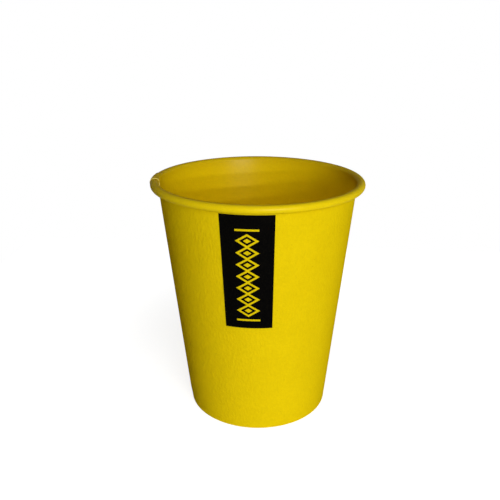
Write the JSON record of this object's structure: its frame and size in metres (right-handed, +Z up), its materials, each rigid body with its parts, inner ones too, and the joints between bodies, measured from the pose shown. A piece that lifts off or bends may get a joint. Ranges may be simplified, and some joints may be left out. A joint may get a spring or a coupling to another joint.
{
  "type": "paper cup",
  "caption": "Single-wall paper cup with a rolled rim, a lap seam, a pressed-in bottom above a folded foot, and a printed black panel.",
  "frame": {"origin": "the middle of the plane that the foot stands on", "axes": "+Z up along the cup's axis, -Y out of the middle of the printed panel, +X to the right of someone who faces the panel"},
  "size_m": [0.0802, 0.08, 0.0922],
  "materials": {
    "wall_board": "matte",
    "bottom_board": "matte",
    "black_print": "matte"
  },
  "bodies": {
    "root": {"side_wall": "wall_board", "bottom_disc": "bottom_board", "printed_panel": "black_print"}
  },
  "joints": []
}
